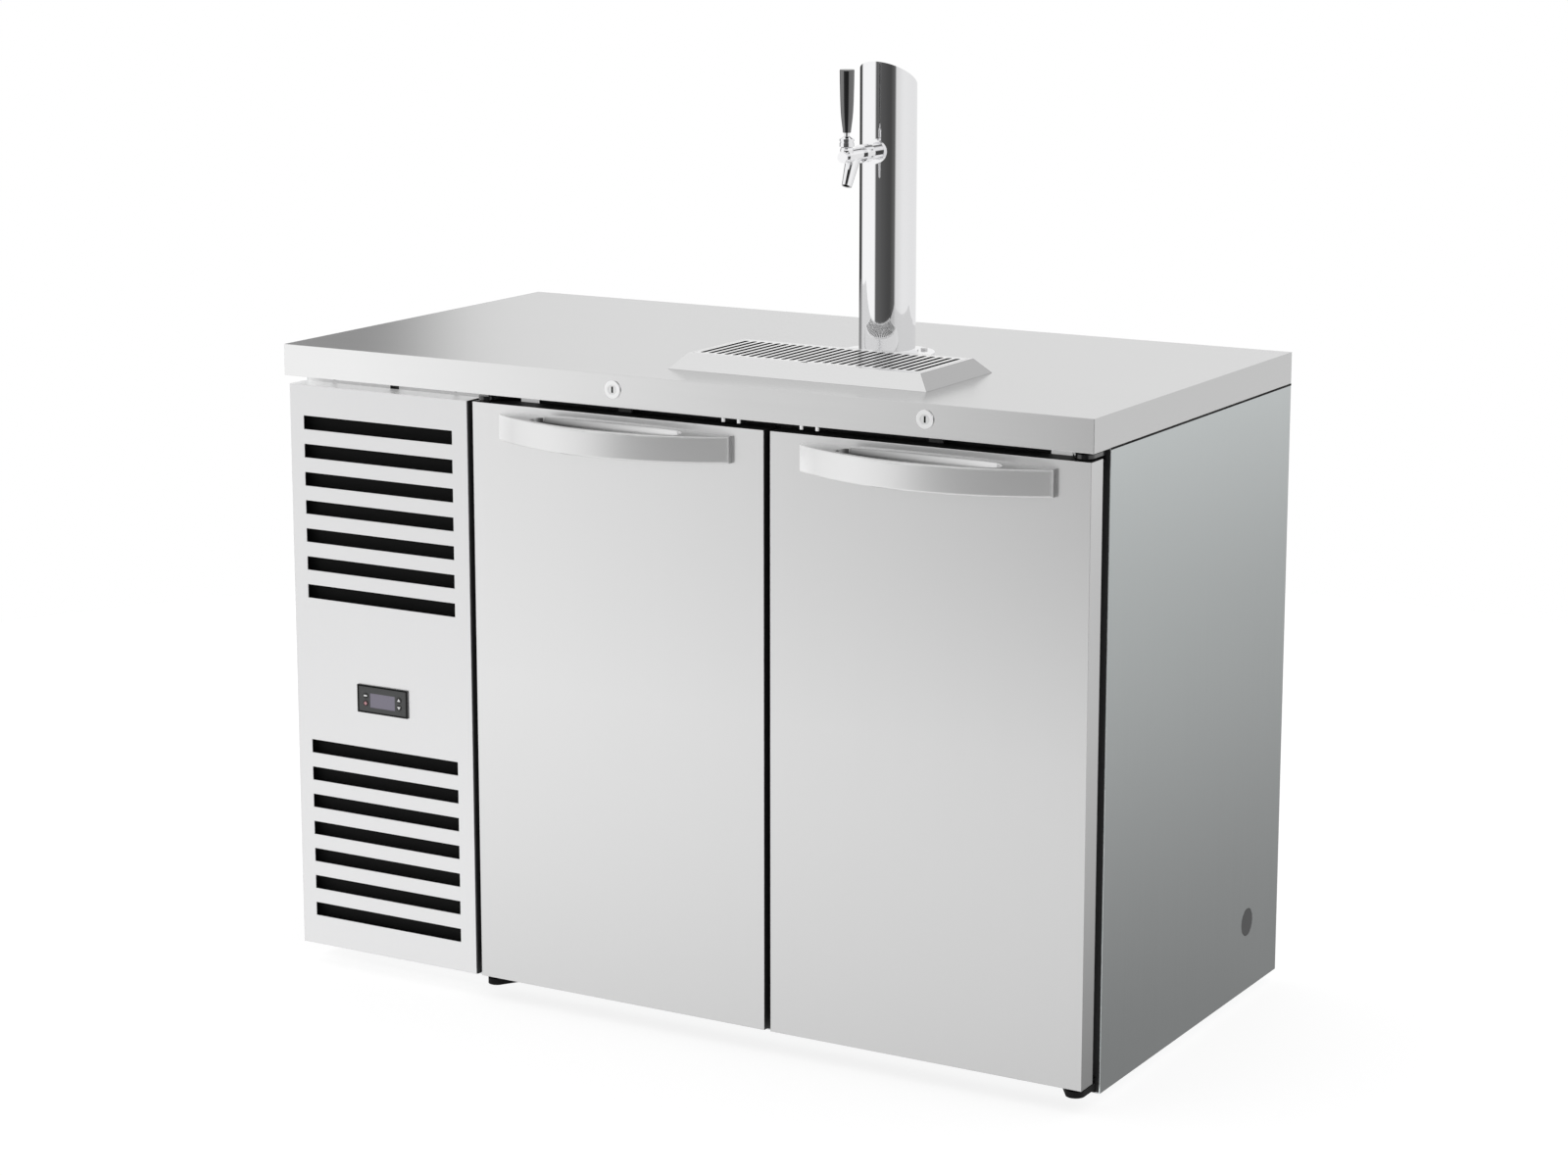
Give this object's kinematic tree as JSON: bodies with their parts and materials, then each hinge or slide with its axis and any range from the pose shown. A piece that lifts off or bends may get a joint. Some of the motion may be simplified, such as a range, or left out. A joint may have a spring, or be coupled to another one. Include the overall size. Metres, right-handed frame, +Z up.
{
  "type": "back bar beer cooler with draft tower",
  "caption": "Stainless back-bar beer cooler with hinged doors, louvred machine bay, key locks, polished draft tower with faucet, and drip tray with a lift-off grille.",
  "frame": {"origin": "centre of the overall footprint at floor level", "axes": "+Z up, +X along the width to the viewer's right when facing the doors, -Y out of the doors"},
  "size_m": [1.222, 0.68, 1.2769],
  "materials": {
    "stainless_worktop": "brushed",
    "stainless_door": "brushed, vertical grain",
    "stainless_side": "brushed, vertical grain",
    "stainless_cover": "brushed",
    "stainless_inside": "satin",
    "galvanised": "galvanised",
    "white_metal": "satin white",
    "black_metal": "satin black",
    "cast_handle": "satin cast",
    "polished_chrome": "mirror polished",
    "lock_metal": "satin",
    "tray_steel": "brushed",
    "foam": "rigid foam",
    "black_plastic": "matte",
    "grey_plastic": "matte",
    "white_plastic": "matte",
    "button_grey": "matte",
    "button_red": "matte",
    "gloss_black": "gloss",
    "display": "gloss",
    "rubber": "matte",
    "gasket": "matte",
    "copper": "plain copper",
    "fins": "plain",
    "light": "diffuser"
  },
  "bodies": {
    "cabinet": {"base_pan": "galvanised", "side_panel_left": "stainless_side", "side_panel_right": "stainless_side", "back_panel": "galvanised", "cabinet_insulation": "foam", "inner_liner": "stainless_inside", "door_frame": "black_plastic", "machine_bay_frame": "white_metal", "worktop": "stainless_worktop", "louvre_cover": "stainless_cover", "cabinet_fasteners": "stainless_inside", "panel_plugs": "grey_plastic", "compressor": "black_metal", "condenser_coil": "black_metal", "fan_shroud": "black_plastic", "fan_motors": "black_metal", "condensate_pan": "black_plastic", "refrigerant_lines": "copper", "evaporator_housing": "white_metal", "evaporator_coil": "fins", "interior_light": "light", "controller_housing": "black_plastic", "controller_display": "display", "upper_hinge_brackets": "black_metal", "lower_hinge_brackets": "black_metal", "lock_housings": "lock_metal", "tower_column": "polished_chrome", "beer_line": "stainless_inside", "faucet_shank": "polished_chrome", "coupling_nut": "polished_chrome", "faucet_body": "polished_chrome", "drip_tray": "tray_steel"},
    "door_left": {"door_left_skin": "stainless_door", "door_left_edge_frame": "black_plastic", "door_left_insulation": "foam", "door_left_inner_panel": "white_plastic", "door_left_gasket": "gasket", "door_left_handle": "cast_handle"},
    "door_right": {"door_right_skin": "stainless_door", "door_right_edge_frame": "black_plastic", "door_right_insulation": "foam", "door_right_inner_panel": "white_plastic", "door_right_gasket": "gasket", "door_right_handle": "cast_handle"},
    "lock_left": {"lock_cam_left": "lock_metal"},
    "lock_right": {"lock_cam_right": "lock_metal"},
    "condenser_fan": {"condenser_fan": "fins"},
    "evaporator_fan": {"evaporator_fan": "black_plastic"},
    "faucet_shaft": {"faucet_shaft": "stainless_inside"},
    "faucet_lever": {"faucet_lever": "polished_chrome", "tap_handle": "gloss_black"},
    "drip_grille": {"drip_grille": "tray_steel"},
    "button_set": {"button_set": "button_grey"},
    "button_power": {"button_power": "button_red"},
    "button_up": {"button_up": "button_grey"},
    "button_down": {"button_down": "button_grey"},
    "foot_front_left": {"foot_front_left": "rubber"},
    "foot_front_right": {"foot_front_right": "rubber"},
    "foot_back_left": {"foot_back_left": "rubber"},
    "foot_back_right": {"foot_back_right": "rubber"}
  },
  "joints": [
    {"name": "door_left_hinge", "type": "hinge", "parent": "cabinet", "child": "door_left", "pos_m": [-0.2835, -0.267, 0.43], "axis": [0, 0, -1], "range_deg": [0, 110]},
    {"name": "door_right_hinge", "type": "hinge", "parent": "cabinet", "child": "door_right", "pos_m": [0.593, -0.267, 0.43], "axis": [0, 0, 1], "range_deg": [0, 110]},
    {"name": "lock_left_turn", "type": "hinge", "parent": "cabinet", "child": "lock_left", "pos_m": [-0.07675, -0.272, 0.863], "axis": [0, 1, 0], "range_deg": [0, 90]},
    {"name": "lock_right_turn", "type": "hinge", "parent": "cabinet", "child": "lock_right", "pos_m": [0.38125, -0.272, 0.863], "axis": [0, 1, 0], "range_deg": [0, 90]},
    {"name": "condenser_fan_spin", "type": "hinge", "parent": "cabinet", "child": "condenser_fan", "pos_m": [-0.4595, -0.131, 0.195], "axis": [0, 1, 0], "continuous": true},
    {"name": "evaporator_fan_spin", "type": "hinge", "parent": "cabinet", "child": "evaporator_fan", "pos_m": [-0.09, -0.097, 0.7385], "axis": [0, 1, 0], "continuous": true},
    {"name": "faucet_lever_tilt", "type": "hinge", "parent": "cabinet", "child": "faucet_lever", "pos_m": [0.1514, -0.07, 1.166], "axis": [1, 0, 0], "range_deg": [0, 30]},
    {"name": "faucet_shaft_slide", "type": "slide", "parent": "cabinet", "child": "faucet_shaft", "axis": [0, 1, 0], "range_m": [0, 0.00345]},
    {"name": "drip_grille_lift", "type": "slide", "parent": "cabinet", "child": "drip_grille", "axis": [0, 0, 1], "range_m": [0, 0.06]},
    {"name": "button_set_press", "type": "slide", "parent": "cabinet", "child": "button_set", "axis": [0, 1, 0], "range_m": [0, 0.0006], "stiffness_N_per_m": 500},
    {"name": "button_power_press", "type": "slide", "parent": "cabinet", "child": "button_power", "axis": [0, 1, 0], "range_m": [0, 0.0006], "stiffness_N_per_m": 500},
    {"name": "button_up_press", "type": "slide", "parent": "cabinet", "child": "button_up", "axis": [0, 1, 0], "range_m": [0, 0.0006], "stiffness_N_per_m": 500},
    {"name": "button_down_press", "type": "slide", "parent": "cabinet", "child": "button_down", "axis": [0, 1, 0], "range_m": [0, 0.0006], "stiffness_N_per_m": 500},
    {"name": "foot_front_left_turn", "type": "hinge", "parent": "cabinet", "child": "foot_front_left", "pos_m": [-0.541, -0.158, 0.02], "axis": [0, 0, 1], "continuous": true},
    {"name": "foot_front_right_turn", "type": "hinge", "parent": "cabinet", "child": "foot_front_right", "pos_m": [0.541, -0.158, 0.02], "axis": [0, 0, 1], "continuous": true},
    {"name": "foot_back_left_turn", "type": "hinge", "parent": "cabinet", "child": "foot_back_left", "pos_m": [-0.541, 0.27, 0.02], "axis": [0, 0, 1], "continuous": true},
    {"name": "foot_back_right_turn", "type": "hinge", "parent": "cabinet", "child": "foot_back_right", "pos_m": [0.541, 0.27, 0.02], "axis": [0, 0, 1], "continuous": true}
  ],
  "couplings": [
    {"joint": "faucet_shaft_slide", "follows": "faucet_lever_tilt", "m_per_rad": 0.006589}
  ]
}
